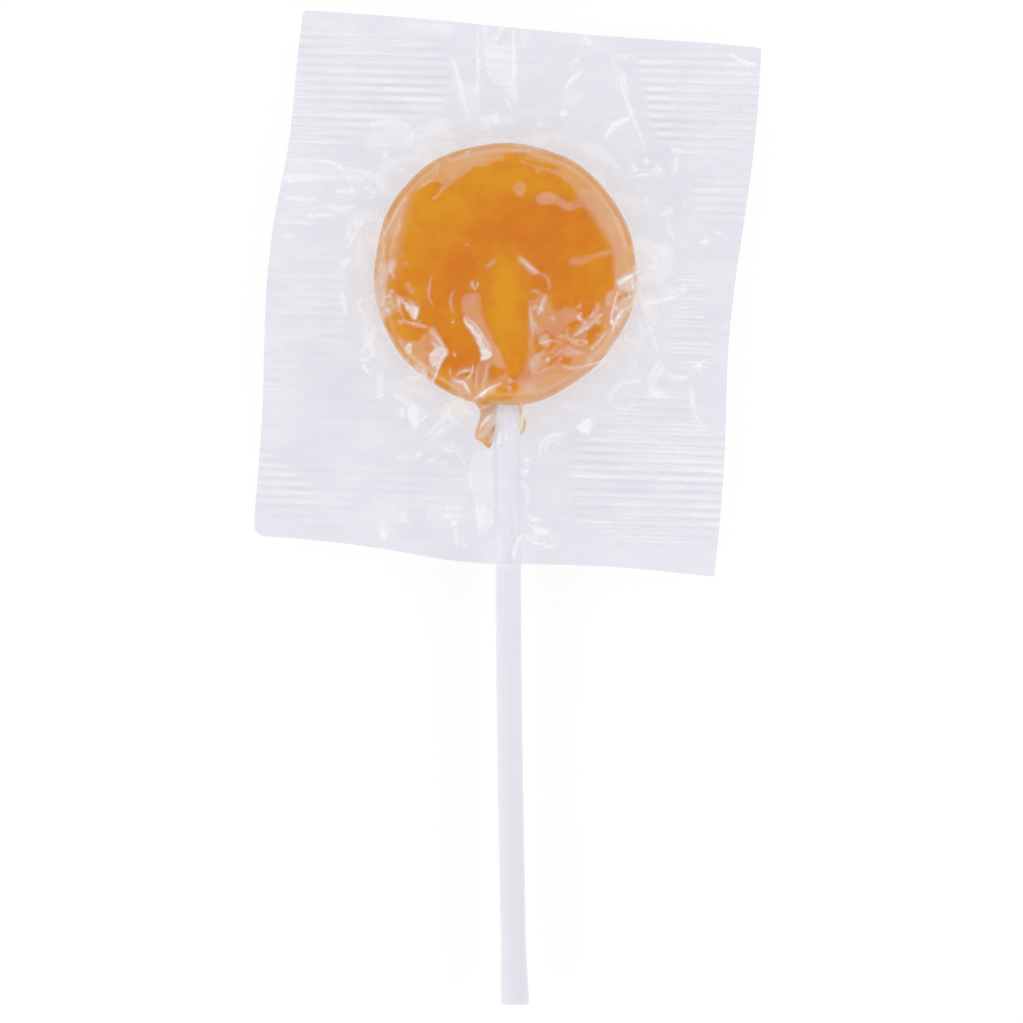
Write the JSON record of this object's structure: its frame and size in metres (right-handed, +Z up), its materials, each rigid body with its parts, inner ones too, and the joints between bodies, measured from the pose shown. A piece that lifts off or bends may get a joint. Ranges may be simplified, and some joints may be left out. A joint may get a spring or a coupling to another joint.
{
  "type": "wrapped lollipop",
  "caption": "Flat round boiled-sweet lollipop on a plain white stick, sealed in a clear crimped film wrapper, lying on its back.",
  "frame": {"origin": "on the surface it lies on, under the centre of the round sweet", "axes": "+Y from the stick towards the top of the sweet, +Z up out of the shown side"},
  "size_m": [0.0628, 0.1244, 0.009],
  "materials": {
    "boiled_sugar": "glossy translucent orange boiled sugar",
    "white_stick": "satin white",
    "clear_film": "clear crinkled wrapping film with crimped seals"
  },
  "bodies": {
    "root": {"sweet": "boiled_sugar", "stick": "white_stick", "wrapper": "clear_film"}
  },
  "joints": []
}
